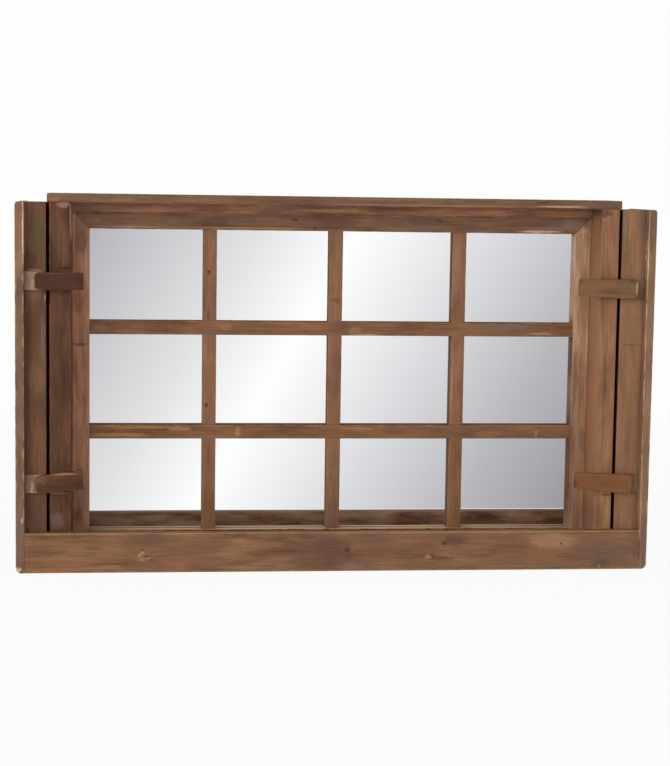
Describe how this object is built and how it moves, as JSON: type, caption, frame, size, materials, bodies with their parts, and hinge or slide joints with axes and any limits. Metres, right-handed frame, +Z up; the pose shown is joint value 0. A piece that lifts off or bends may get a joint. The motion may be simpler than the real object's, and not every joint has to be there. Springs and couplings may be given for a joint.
{
  "type": "shutter mirror",
  "caption": "Landscape window mirror in stained softwood: a multi-pane glazed frame in a deep box that stands behind a front board, held by turning wooden straps.",
  "frame": {"origin": "on the ground plane under the middle of the object's bounding box", "axes": "+X to the object's left-hand side as its front faces the viewer, that is to the viewer's right; +Y from the front to the wall; +Z up"},
  "size_m": [1, 0.126, 0.5876],
  "materials": {
    "stained_pine": "brown stained, waxed, with worn arrises",
    "dark_stained_pine": "dark brown stained, waxed, with worn arrises",
    "worn_stained_pine": "light brown stained, weathered, with pale worn arrises",
    "raw_pine": "sawn and unstained",
    "plain_board": "plain thin board",
    "mirror": "silvered at the back",
    "steel": "zinc plated"
  },
  "bodies": {
    "carcass": {"side_board_left": "worn_stained_pine", "side_board_right": "worn_stained_pine", "post_board_left": "dark_stained_pine", "post_board_right": "stained_pine", "post_cap_left": "dark_stained_pine", "post_cap_right": "stained_pine", "front_board": "stained_pine", "bottom_board": "stained_pine", "back_panel": "plain_board", "back_rail_top": "raw_pine", "back_rail_bottom": "raw_pine", "pivot_block_upper_left": "worn_stained_pine", "pivot_block_lower_left": "worn_stained_pine", "pivot_block_upper_right": "worn_stained_pine", "pivot_block_lower_right": "worn_stained_pine", "pivot_screws": "steel", "keyhole_plates": "steel", "plate_screws": "steel", "front_board_nails": "steel", "side_board_nails": "steel", "panel_pins": "steel"},
    "window": {"header": "stained_pine", "sill_board": "stained_pine", "jamb_left": "stained_pine", "jamb_right": "stained_pine", "top_fillet": "stained_pine", "frame_top_rail": "stained_pine", "frame_bottom_rail": "stained_pine", "frame_left_stile": "stained_pine", "frame_right_stile": "stained_pine", "upright_bar_1": "stained_pine", "upright_bar_2": "stained_pine", "upright_bar_3": "stained_pine", "level_bar_1": "stained_pine", "level_bar_2": "stained_pine", "mirror_glass": "mirror", "backing_board": "plain_board", "retaining_pins": "steel", "header_nails": "steel", "jamb_nails": "steel"},
    "strap_upper_left": {"strap_upper_left": "dark_stained_pine", "plug_upper_left": "dark_stained_pine"},
    "strap_upper_right": {"strap_upper_right": "stained_pine", "plug_upper_right": "stained_pine"},
    "strap_lower_left": {"strap_lower_left": "stained_pine", "plug_lower_left": "stained_pine"},
    "strap_lower_right": {"strap_lower_right": "stained_pine", "plug_lower_right": "stained_pine"}
  },
  "joints": [
    {"name": "window_lift", "type": "slide", "parent": "carcass", "child": "window", "axis": [0, 0, 1], "range_m": [0, 0.07]},
    {"name": "upper_left_turn", "type": "hinge", "parent": "carcass", "child": "strap_upper_left", "pos_m": [-0.462, -0.0513, 0.4535], "axis": [0, -1, 0], "range_deg": [-90, 90]},
    {"name": "lower_left_turn", "type": "hinge", "parent": "carcass", "child": "strap_lower_left", "pos_m": [-0.462, -0.0513, 0.1385], "axis": [0, -1, 0], "range_deg": [-97, 83]},
    {"name": "upper_right_turn", "type": "hinge", "parent": "carcass", "child": "strap_upper_right", "pos_m": [0.462, -0.0513, 0.449], "axis": [0, 1, 0], "range_deg": [-91.5, 88.5]},
    {"name": "lower_right_turn", "type": "hinge", "parent": "carcass", "child": "strap_lower_right", "pos_m": [0.462, -0.0513, 0.1375], "axis": [0, 1, 0], "range_deg": [-49.5, 85.5]}
  ]
}
